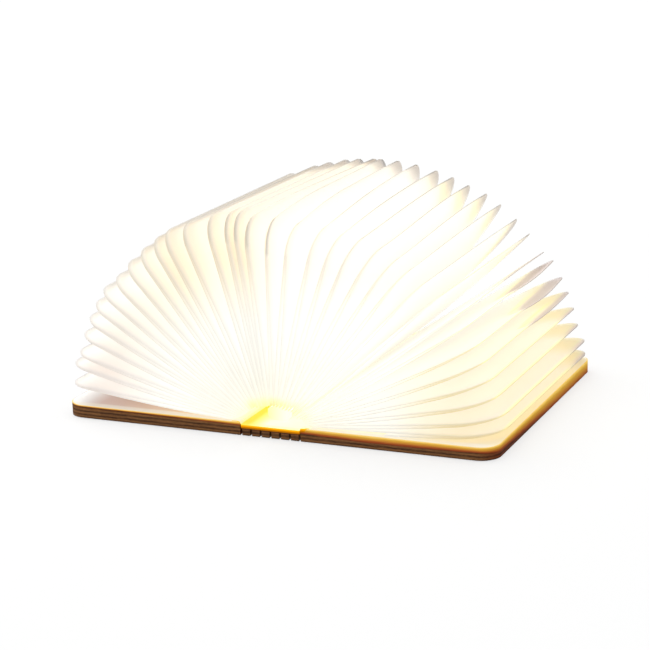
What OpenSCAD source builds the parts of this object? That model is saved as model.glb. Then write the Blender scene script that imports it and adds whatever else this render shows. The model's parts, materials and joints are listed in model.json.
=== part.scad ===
// Folding book lamp: two hinged wooden covers, a fan of paper pages and a light bar along the spine.
// Drawn open flat. X runs across the open book, Y along its spine and Z up from the table.

/* [Covers] */
// Width of a cover, from its spine hinge to its fore edge
cover_w = 80; // [70:1:120]
// Height of the book, along its spine
cover_h = 130; // [110:1:180]
// Thickness of the outer boards and of the spine slats
board_t = 3.6; // [3.2:0.1:3.7]
// Thickness of the ply liner glued inside each outer board
liner_t = 1.5; // [1:0.1:1.6]
// Radius of the covers' corners at the fore edge
cover_corner_r = 8; // [3:0.5:15]
// Thickness of the paper pasted over each liner
endpaper_t = 0.2; // [0.1:0.05:0.3]
// Bare wooden margin round each pasted paper
endpaper_margin = 0.4; // [0.2:0.1:2]

/* [Spine] */
// Distance between neighbouring spine hinges
slat_pitch = 4.2; // [4.15:0.05:4.6]
// Width of the kerf at each spine hinge
kerf_w = 0.9; // [0.88:0.01:1]
// Width of the closed slits down the middle of each slat
slit_w = 0.5; // [0.3:0.1:0.7]
// Length of the wood left between two slits in a row
slit_bridge = 4; // [3:0.5:8]
// Clearance between a hinge rod and the kerf wall that turns round it
rod_clearance = 0.03; // [0.02:0.01:0.06]
// Length of each hinge rod
rod_len = 6; // [4:0.5:10]

/* [Pages] */
// Thickness of one folded page leaf, which is two sheets
page_t = 0.24; // [0.16:0.02:0.26]
// How far the pages stop short of the covers at the top and the foot of the book
page_end_inset = 2; // [1:0.5:5]
// How far the pages stop short of the covers' fore edges when the book is shut
page_fore_inset = 0.4; // [0.2:0.1:3]
// Radius of the pages' outer corners
page_corner_r = 8; // [3:0.5:15]
// Height of the pages' inner folds above the spine's outside when the book is shut
page_root_z = 11.2; // [11.1:0.1:11.8]
// Height of the turning axes of the leaves on the innermost slats when the book is shut
inner_axis_z = 2.1; // [1.9:0.1:2.4]
// The same for the leaves on the next slats
middle_axis_z = 4; // [3.8:0.1:4.3]
// The same for the leaves on the outermost slats
outer_axis_z = 8.6; // [8.4:0.1:8.9]
// The same for the leaves on the covers
cover_axis_z = 10.4; // [10.3:0.1:10.8]

/* [Light bar] */
// How far the light bar stops short of the covers at each end of the spine, end caps included
bar_inset = 9; // [4:0.5:14]
// Width of the light bar
bar_w = 9.8; // [9:0.1:10]
// Height of the bar's flat base above the table
bar_base_z = 4.5; // [4.4:0.1:4.6]
// Width of the bar's flat base
bar_base_w = 6.2; // [5.8:0.1:6.4]
// Height of the top of the bar's side walls above the table
bar_wall_z = 8.9; // [8.6:0.1:9]
// Height of the top of the diffuser above the table
bar_top_z = 10.4; // [10:0.1:10.5]
// Wall thickness of the light bar's housing
bar_wall = 0.6; // [0.5:0.05:0.7]
// Thickness of the diffuser
diffuser_t = 0.7; // [0.5:0.05:0.8]
// Thickness of each end cap's outer plate
cap_t = 1.2; // [0.8:0.1:2]
// Depth of the plug behind each end cap's plate
cap_plug = 1.5; // [1:0.1:3]
// Running gap between the loose pieces inside the bar and its walls
inner_gap = 0.1; // [0.05:0.01:0.15]
// Width of the tabs that hang the bar on the middle hinge
tab_w = 0.6; // [0.4:0.1:0.7]

/* [Electronics] */
// Room along the bar that is left free for leads beside the battery
lead_room = 10; // [6:1:24]
// Thickness of the battery
battery_t = 2.9; // [2:0.1:3]
// Width of the battery
battery_w = 5.3; // [4.5:0.1:5.4]
// Thickness of the light-emitting strip's board
led_board_t = 0.6; // [0.4:0.1:0.6]
// Number of light chips on the strip
led_count = 9; // [5:1:15]
// Side of each square light chip
led_size = 2.8; // [2:0.1:3]
// Height of each light chip
led_h = 0.5; // [0.3:0.1:0.6]
// Length of the charging board
charge_board_len = 24; // [16:1:30]
// Thickness of the charging board
charge_board_t = 0.6; // [0.4:0.1:0.6]
// Width of the charging socket
socket_w = 7; // [6.4:0.1:7.2]
// Height of the charging socket
socket_h = 2.3; // [2:0.1:2.4]
// Depth of the charging socket
socket_len = 5; // [4:0.5:7]
// Thickness of the charging socket's steel shell
socket_wall = 0.25; // [0.2:0.05:0.3]
// Diameter of the magnet switch's glass tube
switch_d = 2; // [1.6:0.1:2.4]
// Length of the magnet switch's glass tube
switch_len = 12; // [8:1:14]

/* [Magnets] */
// Diameter of the magnets let into the covers
magnet_d = 8; // [5:0.5:10]
// Thickness of the magnets
magnet_t = 2; // [1:0.1:2.4]
// Radial gap between a magnet and its pocket
magnet_gap = 0.1; // [0.05:0.05:0.3]
// Distance from a magnet's centre to the cover's fore edge
magnet_edge = 8; // [7:0.5:15]
// Distance from the middle of the book to each fore-edge magnet, along the spine
magnet_y = 42; // [20:1:45]

/* [Hidden] */
$fn = 64;

// The spine: six slats between seven hinges, three slats on each side of the middle hinge
slats_side = 3;
slat_w = slat_pitch - kerf_w;
hinge_z = board_t / 2;
rod_r = kerf_w / 2 - rod_clearance;
// Each cover turns a quarter turn to shut the book, and half a hinge counts at the middle one
fold_per_hinge = 90 / (slats_side + 0.5);
// The two rods of a hinge stand where its row of slits is bridged
rod_y = cover_h / 6;
// Slits stay closed this far from the ends of a slat
slit_end = 4;
// A rod's neck reaches this far into the slat that holds it, and is this high
neck_bite = 0.3;
neck_h = 0.5;
// Notches in the two middle slats let the bar's tabs turn
notch_d = 0.7;
notch_gap = 0.4;

// The covers
cover_x0 = slats_side * slat_pitch + kerf_w / 2;
cover_x1 = slats_side * slat_pitch + cover_w;
cover_top_z = board_t + liner_t;
liner_step = 0.2;
endpaper_spine_gap = 1.4;

// The pages. Each leaf turns on its own group's body: three slats, then the cover.
pages_side = 17;
pages_per_slat = 5;
page_h = cover_h - 2 * page_end_inset;
// Height of the turning axes of each group's leaves when the book is shut
page_axis_z = [inner_axis_z, middle_axis_z, outer_axis_z, cover_axis_z];
// Lean of each leaf from upright when the book lies open flat, from the middle outwards. A leaf given as
// a number of folds stands square on its slat and never turns on it.
middle_square = 1.5 * fold_per_hinge;
outer_square = 2.5 * fold_per_hinge;
right_fan = [5, 10.5, 16.5, 21.5, 26.5, 32, 37, 43, 48.5, 54, 58.5, outer_square, 69, 74, 79, 84, 88];
left_fan = [6, 9, 11.5, 16.5, 24, 29.5, 33.5, middle_square, 44, 49.5, 54.5, 59.5, outer_square,
    69.5, 75, 78.5, 84.5];

// Where hinge i and a leaf's axis stand when the book is shut, as [x, z]
function shut_hinge(i) =
    i == 0 ? [0, hinge_z]
    : shut_hinge(i - 1) + slat_pitch * [cos((i - 0.5) * fold_per_hinge), sin((i - 0.5) * fold_per_hinge)];
shut_half_gap = shut_hinge(slats_side).x - hinge_z - liner_t - endpaper_t;
page_pitch = shut_half_gap / (pages_side + 0.75);
page_tip_z = shut_hinge(slats_side).y + cover_w - page_fore_inset;
function page_group(m) = m > 3 * pages_per_slat ? 3 : floor((m - 1) / pages_per_slat);
// The same axis with the book open flat: its group's body is turned back down about its own hinge
function open_flat(p, g) =
    let (turn = (g + 0.5) * fold_per_hinge, d = p - shut_hinge(g))
    [g * slat_pitch + d.x * cos(turn) + d.y * sin(turn), hinge_z - d.x * sin(turn) + d.y * cos(turn)];
function page_axis(m) = open_flat([page_pitch * m, page_axis_z[page_group(m)]], page_group(m));

// Cutters reach this far past what they cut
cut = 1;

// The light bar, from its base up
bar_len = cover_h - 2 * bar_inset;
bar_floor_z = bar_base_z + bar_wall;
bar_chamfer = (bar_w - bar_base_w) / 2;
bar_body_len = bar_len - 2 * cap_t;
led_board_z = bar_wall_z - led_board_t - inner_gap;
led_board_w = bar_w - 2 * bar_wall - 2 * inner_gap;
led_board_len = bar_body_len - 2 * cap_plug - 2 * inner_gap;
ledge_w = 0.4;
cavity_w = bar_w - 2 * bar_wall - 2 * ledge_w;
cavity_chamfer_w = 5.5;
dome_rise = bar_top_z - bar_wall_z;
dome_r = (bar_w * bar_w / 4 + dome_rise * dome_rise) / (2 * dome_rise);
dome_z = bar_top_z - dome_r;
tab_len = 5;
tab_rod_len = 11;
// Pieces along the bar: the battery at the near end, the charging board at the far end
inner_y0 = -bar_body_len / 2 + cap_plug + inner_gap;
inner_y1 = bar_body_len / 2 - cap_plug - inner_gap;
socket_z = bar_floor_z + inner_gap + charge_board_t;
socket_corner = 0.7;
inner_spacing = 2;
battery_len = inner_y1 - inner_y0 - charge_board_len - switch_len - lead_room;

function two_digits(i) = str(i < 10 ? "0" : "", i);
function page_name(i) = str("page_leaf_", two_digits(i));
function slat_name(i) = str("spine_slat_", i);

// Draws its children as they are, or mirrored to the left half of the book
module on_side(left) {
    mirror([left ? 1 : 0, 0, 0]) children();
}

// A sheet along the spine from x0 to x1, with its two outer corners rounded
module rounded_sheet(x0, x1, width, r, t) {
    linear_extrude(t) {
        translate([x0, -width / 2]) square([x1 - x0 - r, width]);
        translate([x0, r - width / 2]) square([x1 - x0, width - 2 * r]);
        for (s = [-1, 1]) translate([x1 - r, s * (width / 2 - r)]) circle(r);
    }
}

// Round rods on a hinge's axis, each necked into the wood on its far side
module hinge_rods() {
    for (s = [-1, 1]) translate([0, s * rod_y, hinge_z]) {
        rotate([90, 0, 0]) cylinder(r = rod_r, h = rod_len, center = true);
        translate([0, -rod_len / 2, -neck_h / 2]) cube([kerf_w / 2 + neck_bite, rod_len, neck_h]);
    }
}

module magnet_places() {
    for (s = [-1, 1]) translate([cover_x1 - magnet_edge, s * magnet_y, 0]) children();
}

module cover_board(left) color([0.33, 0.2, 0.13]) on_side(left) {
    difference() {
        rounded_sheet(cover_x0, cover_x1, cover_h, cover_corner_r, board_t);
        magnet_places() translate([0, 0, board_t - magnet_t - inner_gap])
            cylinder(d = magnet_d + 2 * magnet_gap, h = magnet_t + cut);
    }
    translate([slats_side * slat_pitch, 0, 0]) hinge_rods();
}

module cover_liner(left) color([0.45, 0.3, 0.19]) on_side(left)
    translate([0, 0, board_t])
        rounded_sheet(cover_x0 + liner_step, cover_x1, cover_h, cover_corner_r, liner_t);

module endpaper(left) color([0.96, 0.94, 0.89]) on_side(left)
    translate([0, 0, cover_top_z]) rounded_sheet(
        cover_x0 + endpaper_spine_gap, cover_x1 - endpaper_margin,
        cover_h - 2 * endpaper_margin, cover_corner_r - endpaper_margin, endpaper_t);

module cover_magnets(left) color([0.75, 0.75, 0.77]) on_side(left)
    magnet_places() translate([0, 0, board_t - magnet_t - inner_gap]) cylinder(d = magnet_d, h = magnet_t);

// One row of closed slits down the middle of a slat, staggered against the hinge rods
module slit_row() {
    third = cover_h / 3;
    for (s = [-1, 1]) {
        inner_len = third - slit_bridge;
        translate([-slit_w / 2, s * third / 2 - inner_len / 2, -cut])
            cube([slit_w, inner_len, board_t + 2 * cut]);
        outer_len = cover_h / 2 - slit_end - third - slit_bridge / 2;
        translate([-slit_w / 2, s * (third + slit_bridge / 2 + outer_len / 2) - outer_len / 2, -cut])
            cube([slit_w, outer_len, board_t + 2 * cut]);
    }
}

// Slat number n, counted outwards from the middle hinge
module slat(n, left) color([0.3, 0.18, 0.12]) on_side(left) {
    difference() {
        translate([(n - 1) * slat_pitch + kerf_w / 2, -cover_h / 2, 0]) cube([slat_w, cover_h, board_t]);
        translate([(n - 0.5) * slat_pitch, 0, 0]) slit_row();
        if (n == 1) for (s = [-1, 1])
            translate([0, s * rod_y - tab_len / 2 - notch_gap, -cut])
                cube([kerf_w / 2 + notch_d, tab_len + 2 * notch_gap, board_t + 2 * cut]);
    }
    if (n > 1) translate([(n - 1) * slat_pitch, 0, 0]) hinge_rods();
}

// Leaf number i, counted from the left cover; the middle one stands on the light bar's axis
module page_leaf(i) color([0.98, 0.95, 0.87]) {
    m = abs(i - pages_side - 1);
    left = i <= pages_side;
    axis = m == 0 ? [0, page_axis_z[0]] : page_axis(m);
    axis_z = m == 0 ? page_axis_z[0] : page_axis_z[page_group(m)];
    lean = m == 0 ? 0 : left ? left_fan[m - 1] : right_fan[m - 1];
    on_side(left) translate([axis.x, 0, axis.y]) rotate([0, lean, 0])
        rotate([0, -90, 0]) translate([0, 0, -page_t / 2])
            rounded_sheet(page_root_z - axis_z, page_tip_z - axis_z, page_h, page_corner_r, page_t);
}

// Turns a drawing of the bar's cross-section along the spine, from y0 to y1
module along_spine(y0, y1) {
    translate([0, y1, 0]) rotate([90, 0, 0]) linear_extrude(y1 - y0) children();
}

module bar_base_outline(d) {
    polygon([
        [-bar_base_w / 2, bar_base_z + d], [bar_base_w / 2, bar_base_z + d],
        [bar_w / 2 - d, bar_base_z + bar_chamfer + d], [bar_w / 2 - d, bar_wall_z],
        [d - bar_w / 2, bar_wall_z], [d - bar_w / 2, bar_base_z + bar_chamfer + d]
    ]);
}

module dome_outline(d) {
    intersection() {
        translate([0, dome_z]) circle(dome_r - d, $fn = 128);
        translate([-bar_w, bar_wall_z]) square([2 * bar_w, 2 * dome_rise]);
    }
}

module cavity_outline() {
    polygon([
        [-cavity_chamfer_w / 2, bar_floor_z], [cavity_chamfer_w / 2, bar_floor_z],
        [cavity_w / 2, bar_floor_z + (cavity_w - cavity_chamfer_w) / 2], [cavity_w / 2, led_board_z],
        [-cavity_w / 2, led_board_z], [-cavity_w / 2, bar_floor_z + (cavity_w - cavity_chamfer_w) / 2]
    ]);
}

// The housing is a trough with a ledge for the light strip, hung on the middle hinge by two tabs
module light_bar_housing() color([0.85, 0.85, 0.84]) {
    difference() {
        along_spine(-bar_body_len / 2, bar_body_len / 2) bar_base_outline(0);
        along_spine(-bar_len, bar_len) cavity_outline();
        translate([bar_wall - bar_w / 2, -bar_len, led_board_z])
            cube([bar_w - 2 * bar_wall, 2 * bar_len, bar_wall_z]);
    }
    for (s = [-1, 1]) translate([0, s * rod_y, 0]) {
        translate([-tab_w / 2, -tab_len / 2, hinge_z]) cube([tab_w, tab_len, bar_floor_z - hinge_z - inner_gap]);
        translate([0, 0, hinge_z]) rotate([90, 0, 0]) cylinder(r = rod_r, h = tab_rod_len, center = true);
    }
}

module light_diffuser() color([1, 0.93, 0.75]) difference() {
    along_spine(-bar_body_len / 2, bar_body_len / 2) dome_outline(0);
    along_spine(-bar_len, bar_len) dome_outline(diffuser_t);
}

// Cap plate with a plug that fits the cavity; side is -1 at the near end and 1 at the far end
module end_cap(side) {
    y0 = side * bar_body_len / 2;
    along_spine(min(y0, y0 + side * cap_t), max(y0, y0 + side * cap_t)) {
        bar_base_outline(0);
        dome_outline(0);
    }
    along_spine(min(y0, y0 - side * cap_plug), max(y0, y0 - side * cap_plug)) intersection() {
        translate([0, inner_gap]) cavity_outline();
        translate([inner_gap - cavity_w / 2, 0]) square([cavity_w - 2 * inner_gap, led_board_z - inner_gap]);
    }
}

module front_end_cap() color([1, 0.95, 0.82]) end_cap(-1);

module rear_end_cap() color([0.95, 0.94, 0.9]) difference() {
    end_cap(1);
    along_spine(0, bar_len) socket_outline(-inner_gap);
}

module socket_outline(d) {
    w = socket_w / 2 - d;
    polygon([
        [socket_corner - w, socket_z + d], [w - socket_corner, socket_z + d],
        [w, socket_z + socket_corner + d], [w, socket_z + socket_h - d],
        [-w, socket_z + socket_h - d], [-w, socket_z + socket_corner + d]
    ]);
}

module charging_socket() color([0.7, 0.7, 0.72]) difference() {
    along_spine(bar_body_len / 2 + cap_t - socket_len, bar_body_len / 2 + cap_t) socket_outline(0);
    along_spine(bar_body_len / 2 + cap_t - socket_len + 2 * socket_wall, bar_len) socket_outline(socket_wall);
}

module charge_board() color([0.1, 0.35, 0.2])
    translate([-battery_w / 2, inner_y1 - charge_board_len, bar_floor_z + inner_gap])
        cube([battery_w, charge_board_len, charge_board_t]);

module battery() color([0.6, 0.62, 0.65])
    translate([-battery_w / 2, inner_y0, bar_floor_z + inner_gap]) cube([battery_w, battery_len, battery_t]);

module magnet_switch() color([0.5, 0.6, 0.55])
    translate([0, inner_y0 + battery_len + inner_spacing, bar_floor_z + inner_gap + switch_d / 2])
        rotate([-90, 0, 0]) cylinder(d = switch_d, h = switch_len);

module led_board() color([0.93, 0.93, 0.9])
    translate([-led_board_w / 2, -led_board_len / 2, led_board_z])
        cube([led_board_w, led_board_len, led_board_t]);

module led_chips() color([1, 0.8, 0.3])
    for (i = [0 : led_count - 1])
        translate([0, (i - (led_count - 1) / 2) * led_board_len / led_count, led_board_z + led_board_t])
            translate([-led_size / 2, -led_size / 2, 0]) cube([led_size, led_size, led_h]);

cover_board(true);  // left_cover_board
cover_board(false);  // right_cover_board
cover_liner(true);  // left_cover_liner
cover_liner(false);  // right_cover_liner
endpaper(true);  // left_endpaper
endpaper(false);  // right_endpaper
cover_magnets(true);  // left_cover_magnets
cover_magnets(false);  // right_cover_magnets
for (i = [1 : slats_side]) {
    slat(i, true);
    slat(i, false);
}
for (i = [1 : 2 * pages_side + 1]) page_leaf(i);
light_bar_housing();
light_diffuser();
front_end_cap();
rear_end_cap();
led_board();
led_chips();
battery();
charge_board();
charging_socket();
magnet_switch();
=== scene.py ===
import bpy
import bmesh
import json
import math
import random
from mathutils import Matrix, Vector

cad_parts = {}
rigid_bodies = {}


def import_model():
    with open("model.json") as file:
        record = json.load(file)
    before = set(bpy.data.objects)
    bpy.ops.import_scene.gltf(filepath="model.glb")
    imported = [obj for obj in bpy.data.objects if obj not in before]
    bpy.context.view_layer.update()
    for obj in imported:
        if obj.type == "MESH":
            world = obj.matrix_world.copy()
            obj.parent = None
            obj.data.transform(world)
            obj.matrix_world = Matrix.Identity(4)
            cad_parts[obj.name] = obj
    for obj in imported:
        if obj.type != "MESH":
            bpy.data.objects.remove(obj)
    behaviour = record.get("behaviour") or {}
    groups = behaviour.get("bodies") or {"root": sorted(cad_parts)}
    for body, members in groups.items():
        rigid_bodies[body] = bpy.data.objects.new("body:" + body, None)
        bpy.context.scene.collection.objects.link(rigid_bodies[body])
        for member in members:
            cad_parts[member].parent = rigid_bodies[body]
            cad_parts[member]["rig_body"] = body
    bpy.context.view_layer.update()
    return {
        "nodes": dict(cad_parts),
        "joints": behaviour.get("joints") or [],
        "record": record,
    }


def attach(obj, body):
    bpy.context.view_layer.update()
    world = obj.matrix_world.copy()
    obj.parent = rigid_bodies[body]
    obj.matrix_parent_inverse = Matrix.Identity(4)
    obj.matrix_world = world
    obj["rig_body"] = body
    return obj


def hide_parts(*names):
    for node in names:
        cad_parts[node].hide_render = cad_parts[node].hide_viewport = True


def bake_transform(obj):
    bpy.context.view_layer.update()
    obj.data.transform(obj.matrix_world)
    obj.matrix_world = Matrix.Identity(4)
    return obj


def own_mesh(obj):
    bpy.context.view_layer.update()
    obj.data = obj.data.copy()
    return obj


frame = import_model()
nodes = frame["nodes"]
joints = {j["name"]: j for j in frame["joints"]}
ratios = {c["joint"]: c["ratio"] for c in frame["record"]["behaviour"]["couplings"]}
mm = 0.001
print("frame loaded:", len(nodes), "CAD nodes")


cameraView = {
    "place": (0.32405, -0.73841, 0.25036),
    "yaw": -23.944,      # degrees from +Y towards +X
    "pitch": 15.353,     # degrees down
    "roll": -1.874,
    "focalPixels": 2006.4,
    "picturePixels": 650,
    "sensor": 36,
}


def makeCamera(view):
    yaw, pitch, roll = (math.radians(view[k]) for k in ("yaw", "pitch", "roll"))
    ahead = Vector((math.sin(yaw) * math.cos(pitch), math.cos(yaw) * math.cos(pitch), -math.sin(pitch)))
    level = Vector((math.cos(yaw), -math.sin(yaw), 0))
    over = level.cross(ahead)
    across = math.cos(roll) * level + math.sin(roll) * over
    upward = -math.sin(roll) * level + math.cos(roll) * over
    camera = bpy.data.objects.new("Camera", bpy.data.cameras.new("Camera"))
    bpy.context.scene.collection.objects.link(camera)
    camera.data.sensor_width = view["sensor"]
    camera.data.lens = view["focalPixels"] / view["picturePixels"] * view["sensor"]
    turn = Matrix((across, upward, -ahead)).transposed()
    camera.matrix_world = Matrix.Translation(view["place"]) @ turn.to_4x4()
    camera.data.clip_start, camera.data.clip_end = 0.01, 30
    bpy.context.scene.camera = camera


makeCamera(cameraView)
print("camera done")


class Recipe:            # short hand for one material's nodes
    def __init__(self, name):
        self.material = bpy.data.materials.new(name)
        self.material.use_nodes = True
        self.tree = self.material.node_tree
        self.shader = self.tree.nodes["Principled BSDF"]

    def give(self, socket, value):           # links another node's output, or sets a number or colour
        if isinstance(value, bpy.types.NodeSocket):
            self.tree.links.new(value, socket)
        elif isinstance(value, tuple) and len(value) < len(socket.default_value):
            socket.default_value = (*value, 1)
        else:
            socket.default_value = value

    def add(self, kind, inputs=None, **settings):
        n = self.tree.nodes.new(kind)
        for key, value in settings.items():
            setattr(n, key, value)
        for key, value in (inputs or {}).items():
            self.give(n.inputs[key], value)
        return n

    def set(self, **values):
        for key, value in values.items():
            self.give(self.shader.inputs[key.replace("_", " ")], value)

    def axes(self, kind="Object"):           # x, y and z of the place, or of the way the face looks
        n = self.add("ShaderNodeSeparateXYZ", {0: self.add("ShaderNodeTexCoord").outputs[kind]})
        return tuple(n.outputs)

    def noise(self, scale, detail, rough=0.55):      # scale in features per metre, along x, y and z or one for all
        scale = scale if isinstance(scale, tuple) else (scale,) * 3
        place = self.add("ShaderNodeTexCoord").outputs["Object"]
        stretched = self.add("ShaderNodeMapping", {"Vector": place, "Scale": scale}).outputs[0]
        return self.add("ShaderNodeTexNoise", {"Vector": stretched, "Scale": 1.0, "Detail": detail,
                                               "Roughness": rough}).outputs["Fac"]

    def ramp(self, fac, stops):
        n = self.add("ShaderNodeValToRGB", {"Fac": fac})
        while len(n.color_ramp.elements) < len(stops):
            n.color_ramp.elements.new(0.5)
        for element, (at, colour) in zip(n.color_ramp.elements, stops):
            element.position = at
            element.color = (*colour, 1)
        return n.outputs["Color"]

    def between(self, value, low, high, first=0.0, last=1.0):
        return self.add("ShaderNodeMapRange", {"Value": value, "From Min": low, "From Max": high,
                                               "To Min": first, "To Max": last}).outputs[0]

    def math(self, what, a, b=0.0, c=0.0):
        return self.add("ShaderNodeMath", {0: a, 1: b, 2: c}, operation=what).outputs[0]

    def mix(self, fac, a, b, how="MIX"):
        return self.add("ShaderNodeMix", {0: fac, 6: a, 7: b}, data_type="RGBA", blend_type=how).outputs[2]

    def bump(self, height, strength, distance):
        n = self.add("ShaderNodeBump", {"Height": height, "Strength": strength, "Distance": distance})
        self.set(Normal=n.outputs[0])


def dress(material, *names):
    for name in names:
        mesh = nodes[name].data
        mesh.materials.clear()
        mesh.materials.append(material)


def finishPiece(bm, name, material):
    mesh = bpy.data.meshes.new(name)
    bm.to_mesh(mesh)
    bm.free()
    piece = bpy.data.objects.new(name, mesh)
    bpy.context.scene.collection.objects.link(piece)
    mesh.materials.append(material)
    return piece


woodLook = {
    "board": {"dark": (0.050, 0.022, 0.011), "light": (0.33, 0.15, 0.055)},
    "liner": {"dark": (0.070, 0.028, 0.012), "light": (0.36, 0.15, 0.05)},
    "slat": {"dark": (0.045, 0.020, 0.011), "light": (0.28, 0.13, 0.05)},
    "plyThickness": 0.72 * mm,
    "streaks": (150, 150, 2600),             # on cut edges, features per metre
    "flecks": (900, 900, 5200),
    "grain": (140, 9, 140),                  # on faces
    "pores": (2400, 60, 800),
    "coverTop": 5.1 * mm,
    "coverHalf": 92.6 * mm,
    "lampLitFloor": [(-92.6, 4.75), (-60.0, 4.55), (-13.0, 4.0), (13.0, 3.3), (40.0, 2.4), (60.0, 2.5),
                  (92.6, 3.2)],              # x, z in mm
    "edgeLampLight": [(0.0, (0.15, 0.030, 0.010)), (0.22, (0.24, 0.050, 0.012)), (0.48, (0.42, 0.16, 0.024)),
             (0.75, (0.55, 0.30, 0.035)), (1.0, (0.76, 0.54, 0.15))],      # painted lamplight, from its floor up to the cover's top
    "edgeLampGlow": 0.5,
    "edgeLampSide": (0.84, 0.84, 0.64),          # less of it on the fore edge
    "edgeLampRagged": 0.35,                      # how far the streaks break its floor
    "sideFloor": {"slope": 0.045, "middle": 3.4 * mm, "most": 4.4 * mm},   # its floor sinks towards the far end
    "foreEdgeShade": (0.72, 0.40, 0.34),          # painted shade: the fore edge that faces right is darker and redder
}


def lampLitEdge(w, colour, streak):     # painted lamplight caught by the upper edge of the covers, more of it to the right
    look, top, half = woodLook, woodLook["coverTop"], woodLook["coverHalf"]
    x, y, z = w.axes()
    normalX, _, normalZ = w.axes("Normal")
    side = w.between(normalX, 0.1, 0.95)
    # painted shade on faces turned to the right
    colour = w.mix(side, colour, w.mix(1.0, colour, look["foreEdgeShade"], "MULTIPLY"))
    across = w.math("DIVIDE", w.math("ADD", x, half), 2 * half)
    marks = [((at * mm + half) / (2 * half), (height * mm / top,) * 3) for at, height in look["lampLitFloor"]]
    sinks = w.math("MULTIPLY_ADD", y, look["sideFloor"]["slope"], look["sideFloor"]["middle"])
    sinks = w.math("MULTIPLY", side, w.math("MINIMUM", sinks, look["sideFloor"]["most"]))
    ground = w.math("SUBTRACT", w.math("MULTIPLY", w.ramp(across, marks), top), sinks)
    level = w.math("DIVIDE", w.math("SUBTRACT", z, ground), w.math("SUBTRACT", top * 1.001, ground))
    level = w.math("ADD", level, w.math("MULTIPLY", w.math("SUBTRACT", streak, 0.5), look["edgeLampRagged"]))
    above = w.math("GREATER_THAN", z, 1.0 * mm)
    upward = w.math("GREATER_THAN", normalZ, -0.5)
    mask = w.math("MULTIPLY", upward, w.math("MAXIMUM", above, side))
    mask = w.math("MULTIPLY", w.between(level, -0.10, 0.12), mask)
    edgeLampLight = w.ramp(level, look["edgeLampLight"])
    edgeLampLight = w.mix(side, edgeLampLight, w.mix(1.0, edgeLampLight, look["edgeLampSide"], "MULTIPLY"))
    w.set(Emission_Color=w.mix(mask, (0, 0, 0), edgeLampLight), Emission_Strength=look["edgeLampGlow"])
    return w.mix(mask, colour, edgeLampLight)


def makeWood(name, look, edgeLampLit=True):
    w = Recipe(name)
    z = w.axes()[2]
    flat = w.math("GREATER_THAN", w.math("ABSOLUTE", w.axes("Normal")[2]), 0.7)
    # cut edges show the plies: odd and even layers, each streaked along the edge
    odd = w.math("PINGPONG", w.math("DIVIDE", z, woodLook["plyThickness"]), 1.0)
    streak = w.noise(woodLook["streaks"], 5.0, 0.62)
    fleck = w.noise(woodLook["flecks"], 2.0, 0.6)
    edge = w.math("MULTIPLY_ADD", odd, 0.50, w.math("MULTIPLY_ADD", fleck, 0.6, w.math("SUBTRACT", streak, 0.62)))
    # faces show long grain along the book
    grain = w.noise(woodLook["grain"], 6.0, 0.6)
    pores = w.noise(woodLook["pores"], 3.0, 0.7)
    face = w.math("MULTIPLY_ADD", pores, 0.35, w.math("SUBTRACT", w.math("MULTIPLY", grain, 1.25), 0.28))
    tone = w.math("ADD", w.math("MULTIPLY", flat, face), w.math("MULTIPLY", w.math("SUBTRACT", 1.0, flat), edge))
    middle = tuple((a + b) / 2 for a, b in zip(look["dark"], look["light"]))
    colour = w.ramp(tone, [(0.12, look["dark"]), (0.55, middle), (0.95, look["light"])])
    # painted lamplight on the covers' upper edges, which also glows
    if edgeLampLit:
        colour = lampLitEdge(w, colour, streak)
    w.set(Base_Color=colour, Roughness=w.math("MULTIPLY_ADD", grain, 0.2, 0.6), Specular_IOR_Level=0.07)
    w.bump(w.math("ADD", w.math("MULTIPLY", pores, 0.6), streak), 0.25, 0.2 * mm)
    return w.material


dress(makeWood("walnutBoard", woodLook["board"]), "left_cover_board", "right_cover_board")
dress(makeWood("walnutLiner", woodLook["liner"]), "left_cover_liner", "right_cover_liner")
dress(makeWood("walnutSlat", woodLook["slat"], edgeLampLit=False), *["spine_slat_%d" % i for i in range(1, 7)])
print("wood done")


plainLook = {
    "barHousing": {"nodes": ["light_bar_housing"], "colour": (0.88, 0.84, 0.70), "rough": 0.5,
                   "glow": (1.0, 0.84, 0.30), "strength": 0.45},
    "frostedDiffuser": {"nodes": ["light_diffuser"], "colour": (0.95, 0.90, 0.78), "rough": 0.6,
                        "glow": (1.0, 0.90, 0.55), "strength": 1.6},
    "rearCap": {"nodes": ["rear_end_cap"], "colour": (0.93, 0.92, 0.88), "rough": 0.5},
    "ledBoard": {"nodes": ["led_board"], "colour": (0.92, 0.92, 0.89), "rough": 0.45},
    "ledChip": {"nodes": ["led_chips"], "colour": (1.0, 0.82, 0.35), "rough": 0.3,
                "glow": (1.0, 0.78, 0.4), "strength": 4.0},
    "batteryWrap": {"nodes": ["battery"], "colour": (0.62, 0.64, 0.67), "rough": 0.3, "metal": 0.6},
    "circuitBoard": {"nodes": ["charge_board"], "colour": (0.06, 0.27, 0.14), "rough": 0.4},
    "socketSteel": {"nodes": ["charging_socket"], "colour": (0.66, 0.67, 0.69), "rough": 0.3, "metal": 1.0},
    "switchGlass": {"nodes": ["magnet_switch"], "colour": (0.6, 0.75, 0.68), "rough": 0.1},
    "magnetNickel": {"nodes": ["left_cover_magnets", "right_cover_magnets"], "colour": (0.62, 0.62, 0.64),
                     "rough": 0.25, "metal": 1.0},
}


def makePlain(name, look):
    p = Recipe(name)
    speck = p.noise(700, 3.0)
    shade = p.ramp(speck, [(0.3, tuple(c * 0.93 for c in look["colour"])), (0.7, look["colour"])])
    p.set(Base_Color=shade, Roughness=p.math("MULTIPLY_ADD", speck, 0.12, look["rough"]),
          Metallic=look.get("metal", 0.0))
    if "glow" in look:
        p.set(Emission_Color=look["glow"], Emission_Strength=look["strength"])
    p.bump(speck, 0.15, 0.05 * mm)
    return p.material


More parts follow.
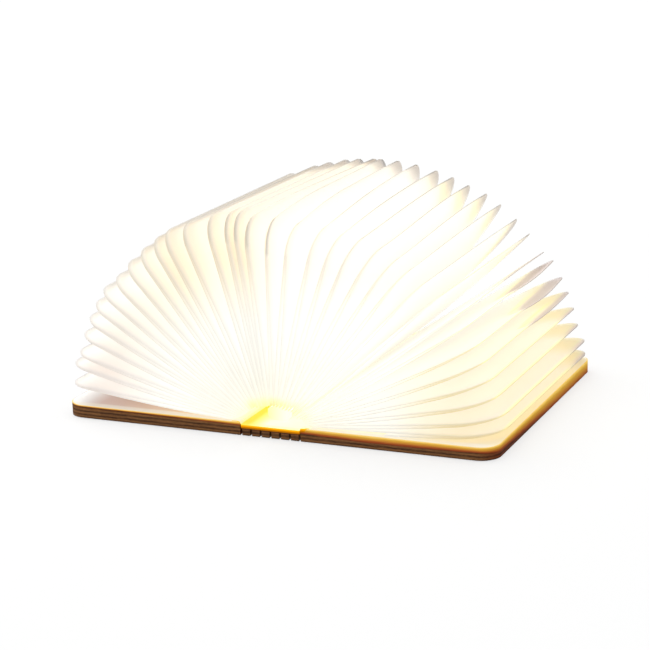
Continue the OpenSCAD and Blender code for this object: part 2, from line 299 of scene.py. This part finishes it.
for name, look in plainLook.items():
    dress(makePlain(name, look), *look["nodes"])


# painted lamplight: the front cap is yellower to the left, and glows
capLook = {"left": (0.96, 0.88, 0.42), "right": (0.97, 0.94, 0.74), "half": 4.9 * mm, "glow": 0.44}


def makeCap(look):
    p = Recipe("frontCap")
    colour = p.mix(p.between(p.axes()[0], -look["half"], look["half"] * 0.6), look["left"], look["right"])
    speck = p.noise(900, 3.0)
    p.set(Base_Color=colour, Roughness=p.math("MULTIPLY_ADD", speck, 0.12, 0.55), Emission_Color=colour,
          Emission_Strength=look["glow"])
    p.bump(speck, 0.15, 0.05 * mm)
    return p.material


dress(makeCap(capLook), "front_end_cap")
print("light bar done")


paperLook = {
    "shade": [(0.0, (0.80, 0.79, 0.76)), (0.35, (0.85, 0.845, 0.83)), (0.70, (0.93, 0.925, 0.91)),
              (0.985, (0.93, 0.92, 0.90)), (1.0, (0.93, 0.90, 0.85))],      # inner folds to outer fold, with painted shade darker towards the inner folds
    "cloudTint": (0.88, 0.84, 0.82),
    "endLine": 0.7 * mm,         # the cut ends let less lamplight through
    "endLoss": (0.03, 0.12),     # near the inner folds, near the outer fold
}


def makePaper(name, look):
    p = Recipe(name)
    uv = p.add("ShaderNodeSeparateXYZ", {0: p.add("ShaderNodeUVMap", uv_map="leafUv").outputs[0]})
    along, outward = uv.outputs[0], uv.outputs[1]
    fibre = p.noise(260, 5.0, 0.7)
    cloud = p.noise(45, 3.0, 0.5)
    # random mottled tone over painted shade
    mottledAndShaded = p.mix(p.math("MULTIPLY", cloud, 0.10), p.ramp(outward, look["shade"]), look["cloudTint"])
    loss = p.between(outward, 0.3, 0.8, *look["endLoss"])
    near = p.between(p.math("MULTIPLY", along, leafLook["length"]), 0.0, look["endLine"], 1.0, 0.0)
    line = p.math("SUBTRACT", 1.0, p.math("MULTIPLY", near, loss))
    even = p.math("MULTIPLY", line, p.math("MULTIPLY_ADD", cloud, 0.16, 0.92))
    glow = p.add("ShaderNodeAttribute", attribute_name="lampGlow").outputs["Color"]
    # painted shade and painted lamplight, multiplied into the paper's colour
    paintedTint = p.add("ShaderNodeAttribute", attribute_name="paperTint").outputs["Color"]
    lit = p.add("ShaderNodeVectorMath", {0: glow, "Scale": even}, operation="SCALE").outputs[0]
    p.set(Base_Color=p.mix(1.0, mottledAndShaded, paintedTint, "MULTIPLY"), Roughness=0.62, Specular_IOR_Level=0.25,
          Emission_Color=lit, Emission_Strength=1.0)
    p.bump(fibre, 0.12, 0.1 * mm)
    return p.material


# A list of pairs below runs over the leaves, 1 at the left cover to 35 at the right one, unless it says otherwise.
leafLook = {
    "leaves": 35,
    "length": 126 * mm,
    "rootHeight": 12.4 * mm,     # inner folds above the table, in the shut book
    "tipHeight": 88.74 * mm,
    "nearRadius": [(1, 8.0), (13, 9.0), (18, 12.0), (26, 13.0), (29, 17.0), (35, 17.0)],   # mm
    "farRadius": 8 * mm,
    "sheet": 0.11 * mm,
    "bow": 0.40 * mm,            # how far each sheet bows out between its folds
    "middleBow": 0.25,           # of that on the middle leaf, which never leans
    "foldHalf": 0.12 * mm,
    "shutShare": 0.04,           # a share of a leaf's twist and bow
    "sag": 0.8 * mm,
    "wave": 0.3 * mm,
    "rows": 24,
    "columns": 30,
    "crowding": 1.5,             # rows crowd towards the outer fold
    # the paper doesn't lie flat: degrees more at the far end, degrees more and mm lower at the near end
    "farTurn": {12: 2.1, 13: 4.4, 14: 1.2, 15: 1.3, 16: 2.7, 17: 4.2, 28: 1.0},
    "nearTurn": {19: 1.4, 20: 3.2, 21: 2.2, 22: 2.2, 23: 2.6, 24: 2.2, 25: 1.4, 26: 0.5, 28: 0.8},
    "nearDrop": {17: 2.0, 18: 2.6, 19: 3.8, 20: 2.8, 21: 3.0, 22: 1.6, 23: 1.2, 24: 2.2, 25: 2.6, 26: 1.2},
    "puff": {26: 1.0, 29: 1.2, 30: 1.5, 31: 1.2, 32: 0.8},          # mm that the far corner swells
    "bend": {29: 1.1, 30: 1.4, 31: 0.8},                            # mm that the outer fold bends down there
    # mm that the outer fold stands further out
    "reachMore": [(1, 0.0), (3, 0.8), (10, 0.9), (12, 1.2), (13, 1.2), (17, 0.2), (20, 0.0), (35, 0.0)],
    "outermost": (16.6 * mm, 5.42 * mm),     # x and z of the last inner folds, on the covers
}
axisHeights = [2.1 * mm, 4.0 * mm, 8.6 * mm, 10.4 * mm]      # of the leaves' hinges in the shut book, by slat
foldStep = 90 / 3.5              # degrees that each slat and cover turns against the last one, in the shut book
leavesPerSlat = 5


def leafFacts(number):
    m = abs(number - 18)         # 0 for the middle leaf
    group = 3 if m > 3 * leavesPerSlat else max(0, (m - 1) // leavesPerSlat)
    node, turn = "page_leaf_%02d" % number, "leaf_%02d_turn" % number
    axis, lean = None, (group + 0.5) * foldStep
    if m == 0:
        axis, lean = Vector((0, 0, axisHeights[0])), 0.0
    elif turn in joints:
        axis = Vector(joints[turn]["pos_m"])
        lean += ratios[turn] * foldStep
    return {"m": m, "side": -1 if number < 18 else 1, "group": group, "body": nodes[node]["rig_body"], "axis": axis,
            "lean": math.radians(lean), "height": axisHeights[group], "node": node}


facts = {n: leafFacts(n) for n in range(1, leafLook["leaves"] + 1)}
for f in facts.values():       # a leaf that stands still on its slat lies between its neighbours
    if f["axis"] is None:
        same = [g for g in facts.values()
                if g["axis"] and g["m"] and (g["group"], g["side"]) == (f["group"], f["side"])]
        first, last = same[0], same[-1]
        f["axis"] = first["axis"].lerp(last["axis"], (f["m"] - first["m"]) / (last["m"] - first["m"]))


def leafFrame(f, turn=0.0):      # the ways out along the sheet and square to it
    lean = f["lean"] * f["side"] + math.radians(turn)
    return Vector((math.sin(lean), 0, math.cos(lean))), Vector((math.cos(lean), 0, -math.sin(lean)))


def rootPoint(f):
    return f["axis"] + leafFrame(f)[0] * (leafLook["rootHeight"] - f["height"])


def valleyPoint(low, high):      # the inner fold that two neighbouring leaves share
    if low < 1 or high > leafLook["leaves"]:
        x, z = leafLook["outermost"]
        return Vector((-x if low < 1 else x, 0, z))
    return (rootPoint(facts[low]) + rootPoint(facts[high])) / 2


def alongStops(stops, at):
    for (x0, y0), (x1, y1) in zip(stops, stops[1:]):
        if at <= x1:
            k = clamped((at - x0) / (x1 - x0))
            return y0 + (y1 - y0) * k if not isinstance(y0, tuple) else Vector(y0).lerp(Vector(y1), k)
    return stops[-1][1]


def clamped(x):
    return min(1.0, max(0.0, x))


def eased(x):
    x = clamped(x)
    return x * x * (3 - 2 * x)


def rises(x, zone):              # from 0 at the zone's start to 1 at its width further on
    return eased((x - zone[0]) / zone[1])


def falls(x, zone):              # from 1 at the zone's width before its end to 0 at its end
    return eased((zone[0] - x) / zone[1])


def farHump(u):                  # 0 up to the middle of the leaf, 1 at three quarters, 0 at the far end
    return math.sin(math.pi * clamped((u - 0.5) / 0.5))


glowLook = {
    "reach": 76,                 # mm from inner to outer fold
    "length": 126,               # mm
    "glow": [(0.0, (0.30, 0.285, 0.22)), (0.10, (0.25, 0.24, 0.205)), (0.40, (0.225, 0.218, 0.195)),
             (0.75, (0.22, 0.21, 0.18)), (0.92, (0.265, 0.25, 0.205)), (0.985, (0.265, 0.24, 0.185)),
             (1.0, (0.235, 0.215, 0.17))],           # inner folds to outer fold
    "rootGlow": (0.44, 0.36, 0.02),
    "rootLeaves": {"rise": (8, 4), "fall": (31, 4)},
    "rootEnds": 6,               # mm
    "rootReach": 0.06,
    "share": [(1, 0.77), (9, 0.84), (13, 0.95), (18, 1.0), (28, 1.0), (31, 0.84), (35, 0.74)],
    "shareZone": (0.25, 0.4),    # these zones are shares of the way out: where they start and how wide they are
    "outerZone": (0.35, 0.5),
    "warmth": [(1, 0.0), (6, 0.05), (10, 0.22), (14, 0.40), (17, 0.32), (18, 0.2), (20, 0.1), (27, 0.0),
               (29, 0.06), (31, 0.22), (33, 0.36), (35, 0.54)],
    "warmLoss": (0, 0.30, 0.78),                     # of red, green and blue
    "rose": [(1, 0.65), (4, 0.5), (8, 0.2), (10, 0.0), (35, 0.0)],
    "roseLoss": (0, 0.16, 0.05),
    "roseShade": 0.25,
    # the valleys are open at the near end, and look less lit there
    "frontMore": [(1, 0.50), (9, 0.40), (14, 0.25), (35, 0.25)],
    "frontDepth": 60,            # mm
    "frontZone": (0.9, 0.3),
    "frontBand": [(1, 8.0), (8, 10.0), (12, 18.0), (14, 15.0), (17, 12.0), (19, 9.0), (26, 6.0), (35, 4.0)],   # mm
    "frontShare": [(1, 0.96), (8, 0.90), (12, 0.76), (16, 0.84), (18, 0.95), (20, 0.95), (22, 0.86), (27, 0.92),
                   (31, 0.9), (35, 0.8)],
    "frontTint": [(1, (0.99, 0.965, 0.95)), (7, (0.985, 0.96, 0.92)), (12, (0.97, 0.91, 0.81)),
                  (17, (0.97, 0.92, 0.85)), (20, (0.98, 0.95, 0.92)), (26, (0.99, 0.96, 0.90)),
                  (30, (1.0, 0.93, 0.68)), (35, (1.0, 0.91, 0.64))],
    "bandZone": (0.42, 0.4),
    # less lit paper along the outer fold, on the leaves that are seen from their folds' side
    "rimLeaves": 15,
    "foldRim": [(1, 3.8), (11, 3.4), (12, 3.6), (15, 3.0)],                # mm
    "foldTint": [(1, (0.86, 0.86, 0.84)), (8, (0.84, 0.82, 0.79)), (15, (0.82, 0.78, 0.73))],
    "rimNear": (0.5, 0.15),      # shares of the length
    "rimFar": (0.75, 0.15),
    # far corners: painted shade, and painted cream and gold lamplight
    "farTint": (0.86, 0.81, 0.77),
    "farRadius": (16, 10),       # mm: where the shade ends and how long it takes
    "slantRadius": (20, 14),     # on leaves 26 and 27, where the shade runs down the back edge
    "ringWidth": 9,
    "tipTint": (0.89, 0.81, 0.80),
    "tipFold": 3.5,
    "tipZone": (0.8, 0.12),
    "lens": {28: 8.0, 29: 13.0, 30: 10.0, 31: 4.0},  # mm of shaded paper beside the outer fold
    "lensZone": (0.5, 0.1),
    "creamTint": (1.0, 0.92, 0.62),
    "creamRadius": (32, 18),
    "goldTint": (1.0, 0.97, 0.48),
    "goldFold": 2.2,
    "goldZone": (0.86, 0.1),
    "lensGold": {"off": 3, "half": 3.5, "zone": (0.93, 0.1)},
}


def nearZones(number, u, reach, fromFold, fromFront):    # how much of a zone there is, its tint, the light left in it
    look = glowLook
    if number <= look["rimLeaves"]:
        width = alongStops(look["foldRim"], number) * (0.5 + 0.7 * u if number > 11 else 1.0)
        seen = falls(u, look["rimNear"]) if number < 12 else (1.0 if number < 14 else rises(u, look["rimFar"]))
        yield eased(1 - fromFold / width) * seen, alongStops(look["foldTint"], number), 0.05
    band = eased(1 - fromFront / alongStops(look["frontBand"], number)) * rises(reach, look["bandZone"])
    yield band, alongStops(look["frontTint"], number), alongStops(look["frontShare"], number)


def farZones(number, right, u, fromFold, fromBack):
    look = glowLook
    fromTip = math.hypot(fromBack, fromFold * 1.3)
    lens = look["lens"].get(number, 0.0) * (farHump(u) if u < 0.75 else 1)
    if number < 28 or right:
        far, width = look["farRadius"]
        if number in (26, 27):
            far, width = look["slantRadius"]
            fromTip = math.hypot(fromBack * 1.5, fromFold * 0.75)
        if number > 13:
            yield clamped((far - fromTip) / width), look["farTint"], 0.05
        if 21 < number < 28:
            yield 0.6 * eased(1 - abs(fromTip - far) / look["ringWidth"]), look["creamTint"], 0.95
    else:
        edge = eased(1 - fromFold / look["tipFold"]) * rises(u, look["tipZone"])
        if lens:
            edge = max(edge, eased((lens - fromFold) / 4 + 0.5) * rises(u, look["lensZone"]))
        yield edge, look["tipTint"], 0.12
        yield 0.85 * (1 - edge) * falls(fromTip, look["creamRadius"]), look["creamTint"], 0.9
    if number > 26:              # outer folds glow golden on the right, and so does the paper beside the shade
        if lens and not right and u > 0.5:
            gold = look["lensGold"]
            beside = eased(1 - abs(fromFold - lens - gold["off"]) / gold["half"])
            yield 0.8 * beside * falls(u, gold["zone"]), look["goldTint"], 1.3
        else:
            yield 0.9 * eased(1 - fromFold / look["goldFold"]) * falls(u, look["goldZone"]), look["goldTint"], 2.4


def paint(number, right, u, reach):      # lamplight that comes through the sheet at one point, and the painted shade and lamplight that tint the paper there
    look = glowLook
    fromFold, fromFront, fromBack = (1 - reach) * look["reach"], u * look["length"], (1 - u) * look["length"]
    outer = rises(reach, look["outerZone"])
    warm, rose = alongStops(look["warmth"], number) * outer, alongStops(look["rose"], number) * outer
    glow = Vector(alongStops(look["glow"], reach))
    rooted = rises(number, look["rootLeaves"]["rise"]) * falls(number, look["rootLeaves"]["fall"])
    rooted *= eased(1 - min(fromFront, fromBack) / look["rootEnds"]) * eased(1 - reach / look["rootReach"])
    glow = glow.lerp(Vector(look["rootGlow"]), rooted)
    front = eased(1 - fromFront / look["frontDepth"]) * falls(reach, look["frontZone"])
    glow *= 1 + alongStops(look["frontMore"], number) * front
    share = 1 + (alongStops(look["share"], number) - 1) * rises(reach, look["shareZone"])
    share *= 1 - look["roseShade"] * rose
    paintedTint = Vector((1, 1, 1))
    for zones in (nearZones(number, u, reach, fromFold, fromFront), farZones(number, right, u, fromFold, fromBack)):
        for amount, colour, rest in zones:
            paintedTint = paintedTint.lerp(Vector(colour), amount)
            share *= 1 - (1 - rest) * amount
    hue = (1 - w * warm - r * rose for w, r in zip(look["warmLoss"], look["roseLoss"]))
    return Vector(g * h * share for g, h in zip(glow, hue)), paintedTint


def leafShape(number):           # how one leaf departs from a flat sheet
    look, f, chance = leafLook, facts[number], random.Random(number)
    wave = chance.uniform(-look["wave"], look["wave"])
    bow = look["bow"] * (look["middleBow"] if f["m"] == 0 else 1)
    shape = {"wave": wave, "bows": [bow * chance.uniform(0.75, 1.25) for side in (0, 1)],
             "sag": look["sag"] * math.sin(f["lean"]) * f["side"],
             "more": alongStops(look["reachMore"], number) * mm,
             "nearRadius": alongStops(look["nearRadius"], number) * mm,
             "valleys": (valleyPoint(number - 1, number), valleyPoint(number, number + 1))}
    shape.update({key: look[key].get(number, 0.0) for key in ("farTurn", "nearTurn", "nearDrop", "puff", "bend")})
    return shape


def leafPoint(f, shape, s, t):   # s goes from one inner fold over the outer fold to the other, t along the leaf
    look = leafLook
    u, right = (t + 1) / 2, s > 0
    back = abs(s) ** look["crowding"]
    reach = 1 - back             # 0 at the inner folds, 1 at the outer one
    out, square = leafFrame(f, shape["farTurn"] * u + shape["nearTurn"] * eased(1 - u / 0.9))
    droop = shape["nearDrop"] * mm * max(0.0, 1 - u / 0.45) ** 2
    tip = look["tipHeight"] - f["height"] + shape["more"] - droop
    half = math.copysign(look["foldHalf"] * min(1, abs(s) * 30), s)
    fold = f["axis"] + out * tip + square * (shape["bend"] * mm * farHump(u) + half)
    place = shape["valleys"][1 if right else 0].lerp(fold, reach)
    radius = shape["nearRadius"] if t < 0 else look["farRadius"]
    over = radius - back * (look["tipHeight"] - look["rootHeight"])
    cut = radius - math.sqrt(max(0.0, radius * radius - over * over)) if over > 0 else 0.0
    hump = math.sin(math.pi * reach ** 0.8)
    swell = shape["puff"] * mm * math.sin(math.pi * clamped((reach - 0.45) / 0.55) ** 1.6) * rises(u, (0.6, 0.25))
    bow = shape["bows"][1 if right else 0] * hump + swell * (1 if right else 0.35)
    place += square * (math.copysign(bow, s) + (shape["sag"] + shape["wave"] * math.cos(2.5 * t)) * hump)
    return Vector((place.x, t * (look["length"] / 2 - cut), place.z)), right, u, reach


def makeLeaf(number):
    look, f, shape = leafLook, facts[number], leafShape(number)
    bm = bmesh.new()
    bmesh.ops.create_grid(bm, x_segments=2 * look["rows"], y_segments=look["columns"], size=1)
    uvLayer = bm.loops.layers.uv.new("leafUv")
    glowLayer = bm.verts.layers.float_color.new("lampGlow")
    paintedTintLayer = bm.verts.layers.float_color.new("paperTint")
    across = {}
    for v in bm.verts:
        v.co, right, u, reach = leafPoint(f, shape, v.co.x, v.co.y)
        glow, paintedTint = paint(number, right, u, reach)
        v[glowLayer], v[paintedTintLayer] = (*glow, 1), (*paintedTint, 1)
        across[v] = (u, reach)
    for face in bm.faces:
        for loop in face.loops:
            loop[uvLayer].uv = across[loop.vert]
    bmesh.ops.solidify(bm, geom=bm.faces[:], thickness=look["sheet"])
    bmesh.ops.recalc_face_normals(bm, faces=bm.faces[:])
    leaf = finishPiece(bm, "leafPaper_%02d" % number, leafPaper)
    leaf.data.polygons.foreach_set("use_smooth", [True] * len(leaf.data.polygons))
    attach(leaf, f["body"])
    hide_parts(f["node"])
    tuple(leafFrame(f)[1])
    tuple(f["axis"])
    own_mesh(leaf)
    return leaf


leafPaper = makePaper("pagePaper", paperLook)
leaves = [makeLeaf(n) for n in range(1, leafLook["leaves"] + 1)]
print("leaves done:", len(leaves))


liningLook = {
    "thick": 0.3 * mm,
    "top": 4.5 * mm,             # above the table, over the slats
    "reach": 65.4 * mm,
    "innerReach": 64.6 * mm,     # on the left cover, short of its ends
    "lip": 1.2 * mm,             # turned down over the ends of the slats
    "lipTo": (-12.45 * mm, 14.9 * mm),
    "pitch": 4.2 * mm,
    "soft": 1.0 * mm,            # extra columns over this width at each hinge
    "rows": 32,
    "shore": [(12.45, 4.5), (13.0, 4.6), (13.2, 5.4), (14.9, 5.6), (16.7, 5.5)],   # up onto the cover, x and z in mm
    # painted lamplight on the turned-down ends, browner lower down
    "lipLampLight": [(0.0, (0.40, 0.17, 0.003)), (0.5, (0.62, 0.36, 0.004)), (1.0, (0.72, 0.48, 0.012))],
    # painted lamplight: yellower on the left, paler on the right
    "leftLampTint": (0.80, 0.60, 0.10),
    "rightLampTint": (0.92, 0.90, 0.76),
    "leftGlow": (0.40, 0.30, 0.02),
    "rightGlow": (0.46, 0.45, 0.30),
    "leftToRight": (-10 * mm, -2.5 * mm),
    "shoreTint": (0.93, 0.89, 0.80),                 # on the left cover, past the spine
    "shoreGlow": (0.20, 0.19, 0.15),
    "ashore": (-12.4 * mm, -13.2 * mm),
    "edgeGlow": (0.50, 0.38, 0.04),
    "weaveTint": (0.5, 0.4, 0.2),
}


def makeLiningPaper(look):
    p = Recipe("spineLining")
    x, y, z = p.axes()
    weave = p.noise(1500, 3.0)
    side = p.between(x, *look["leftToRight"])
    ashore = p.between(x, *look["ashore"])
    inward = p.math("SUBTRACT", look["reach"], p.math("ABSOLUTE", y))
    depth = p.between(inward, 0.5 * mm, 4 * mm)
    lit = p.mix(depth, look["edgeGlow"], p.mix(side, look["leftGlow"], look["rightGlow"]))
    lit = p.mix(ashore, lit, look["shoreGlow"])
    # lining colour with painted lamplight, yellower on the left
    lampLitCloth = p.mix(ashore, p.mix(side, look["leftLampTint"], look["rightLampTint"]), look["shoreTint"])
    rise = p.between(x, 12.6 * mm, 13.2 * mm, 0.0, 1.0 * mm)
    low = p.math("SUBTRACT", p.math("SUBTRACT", z, rise), look["top"] - look["lip"])
    # painted lamplight on the turned-down ends, which also glows
    lip = p.ramp(p.math("DIVIDE", low, look["lip"]), look["lipLampLight"])
    ends = p.math("GREATER_THAN", p.math("ABSOLUTE", p.axes("Normal")[1]), 0.6)
    woven = p.mix(p.math("MULTIPLY", weave, 0.12), lampLitCloth, look["weaveTint"])
    p.set(Base_Color=p.mix(ends, woven, lip), Roughness=0.7, Specular_IOR_Level=0.15,
          Emission_Color=p.mix(ends, lit, p.mix(0.35, lip, (0, 0, 0))), Emission_Strength=1.0)
    p.bump(weave, 0.2, 0.1 * mm)
    return p.material


def makeLining(name, bodyA, bodyB, path, material):
    look, rows, near = liningLook, liningLook["rows"], 1e-6
    bm = bmesh.new()
    bmesh.ops.create_grid(bm, x_segments=2 * (len(path) - 1), y_segments=2 * rows, size=1)
    for v in bm.verts:
        k = (v.co.x + 1) / 2 * (len(path) - 1)
        i = min(int(k), len(path) - 2)
        x, z = Vector(path[i]).lerp(Vector(path[i + 1]), k - i)
        onSlats = look["lipTo"][0] - near <= x <= look["lipTo"][1] + near
        row = round(abs(v.co.y) * rows)                  # the last row turns down over the ends of the slats
        y = look["reach" if onSlats else "innerReach"] * min(row, rows - 1) / (rows - 1)
        v.co = Vector((x, math.copysign(y, v.co.y), z - look["lip"] * (row == rows and onSlats)))
    bmesh.ops.solidify(bm, geom=bm.faces[:], thickness=look["thick"])
    bmesh.ops.remove_doubles(bm, verts=bm.verts[:], dist=near)
    bmesh.ops.recalc_face_normals(bm, faces=bm.faces[:])
    strip = finishPiece(bm, name, material)
    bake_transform(strip)


def makeLinings():               # a strip over each hinge, from the middle of one slat to the middle of the next
    material = makeLiningPaper(liningLook)
    pitch, soft, top = liningLook["pitch"], liningLook["soft"], liningLook["top"]
    for name, side, chain in (("left", -1, ["spine_core", "slat_3", "slat_2", "slat_1", "left_cover"]),
                              ("right", 1, ["spine_core", "slat_4", "slat_5", "slat_6", "right_cover"])):
        for i in range(4):
            hinge = side * i * pitch
            path = [(0.0 if i == 0 else hinge - side * pitch / 2, top)]
            if i < 3:
                path += [(hinge - side * soft / 2 * (i > 0), top), (hinge + side * soft / 2, top),
                         (hinge + side * pitch / 2, top)]
            else:
                path += [(side * x * mm, z * mm) for x, z in liningLook["shore"]]
            if side < 0:
                path.reverse()
            makeLining("spineLining_%s_%d" % (name, i + 1), chain[i], chain[i + 1], path,
                       material)


makeLinings()
print("lining done")


endpaperLook = {
    "half": 92.2 * mm,
    "rim": (60.2 * mm, 61.6 * mm),           # beyond this the sheet is seen past the first and last leaf
    "across": [(0.0, (0.95, 0.95, 0.94)), (0.035, (0.93, 0.92, 0.91)), (0.075, (0.76, 0.62, 0.57)),
               (0.25, (0.82, 0.65, 0.50)), (0.36, (0.92, 0.68, 0.34)), (0.42, (0.94, 0.78, 0.52)),
               (0.58, (0.97, 0.90, 0.60)), (0.72, (0.95, 0.90, 0.66)), (0.95, (0.93, 0.86, 0.68)),
               (1.0, (0.92, 0.82, 0.58))],   # left fore edge to right fore edge: painted shadow beside the first leaf, and painted lamplight, orange and yellow, nearer the spine
    "border": (0.93, 0.88, 0.78),
    "fibreTint": (0.6, 0.55, 0.5),
    "glow": (0.06, 0.21),                    # left, right
}


def makeEndpaper(look):
    p = Recipe("endpaper")
    x, y, z = p.axes()
    fibre = p.noise(700, 3.0)
    along = p.math("MULTIPLY_ADD", x, 0.5 / look["half"], 0.5)
    rim = p.between(p.math("ABSOLUTE", y), *look["rim"])
    # painted shadow and painted lamplight across the sheet
    colour = p.mix(p.math("MULTIPLY", rim, 0.75), p.ramp(along, look["across"]), look["border"])
    p.set(Base_Color=p.mix(p.math("MULTIPLY", fibre, 0.06), colour, look["fibreTint"]), Roughness=0.62,
          Specular_IOR_Level=0.2, Emission_Color=colour, Emission_Strength=p.between(along, 0.05, 0.7, *look["glow"]))
    p.bump(fibre, 0.15, 0.05 * mm)
    return p.material


dress(makeEndpaper(endpaperLook), "left_endpaper", "right_endpaper")
print("endpapers done")


studioLook = {
    "floorSize": 12,
    "floorDrop": 0.4 * mm,
    "floorVeil": 0.70,           # of the floor is see-through to the camera, over the white world
    "world": 0.70,               # what is looked at is white, what lights the lamp is less
    "keyPower": 52.0,
    "keySize": 2.6,
    "keyPlace": (-1.4, 0.8, 2.9),
    "keyAim": (0, 0, 0.03),
}


def makeFloor(look):
    p = Recipe("floorWhite")
    p.set(Base_Color=(0.97, 0.97, 0.97), Roughness=0.9, Specular_IOR_Level=0.0)
    rays = p.add("ShaderNodeLightPath").outputs
    seen = p.math("MAXIMUM", rays["Is Camera Ray"],
                  p.math("MAXIMUM", rays["Is Glossy Ray"], rays["Is Transmission Ray"]))
    veil = p.add("ShaderNodeMixShader", {0: p.math("MULTIPLY", seen, look["floorVeil"]), 1: p.shader.outputs[0],
                                         2: p.add("ShaderNodeBsdfTransparent").outputs[0]})
    p.give(p.tree.nodes["Material Output"].inputs["Surface"], veil.outputs[0])
    bm = bmesh.new()
    bmesh.ops.create_grid(bm, x_segments=1, y_segments=1, size=look["floorSize"])
    bmesh.ops.translate(bm, verts=bm.verts, vec=(0, 0, -look["floorDrop"]))
    finishPiece(bm, "floor", p.material)


def makeWorld(look):
    world = bpy.data.worlds.new("studio")
    bpy.context.scene.world = world
    world.use_nodes = True
    tree = world.node_tree
    path, level = tree.nodes.new("ShaderNodeLightPath"), tree.nodes.new("ShaderNodeMapRange")
    level.inputs["To Min"].default_value = look["world"]
    level.inputs["To Max"].default_value = 1.0
    tree.links.new(path.outputs["Is Camera Ray"], level.inputs["Value"])
    tree.links.new(level.outputs[0], tree.nodes["Background"].inputs["Strength"])
    tree.nodes["Background"].inputs["Color"].default_value = (1, 1, 1, 1)


def makeKey(look):
    light = bpy.data.lights.new("softKey", "AREA")
    light.shape, light.size, light.energy = "SQUARE", look["keySize"], look["keyPower"]
    lamp = bpy.data.objects.new("softKey", light)
    bpy.context.scene.collection.objects.link(lamp)
    lamp.location = look["keyPlace"]
    aim = Vector(look["keyAim"]) - Vector(look["keyPlace"])
    lamp.rotation_euler = aim.to_track_quat("-Z", "Y").to_euler()


makeFloor(studioLook)
makeWorld(studioLook)
makeKey(studioLook)
bpy.context.scene.view_settings.view_transform = "Standard"
print("studio done")
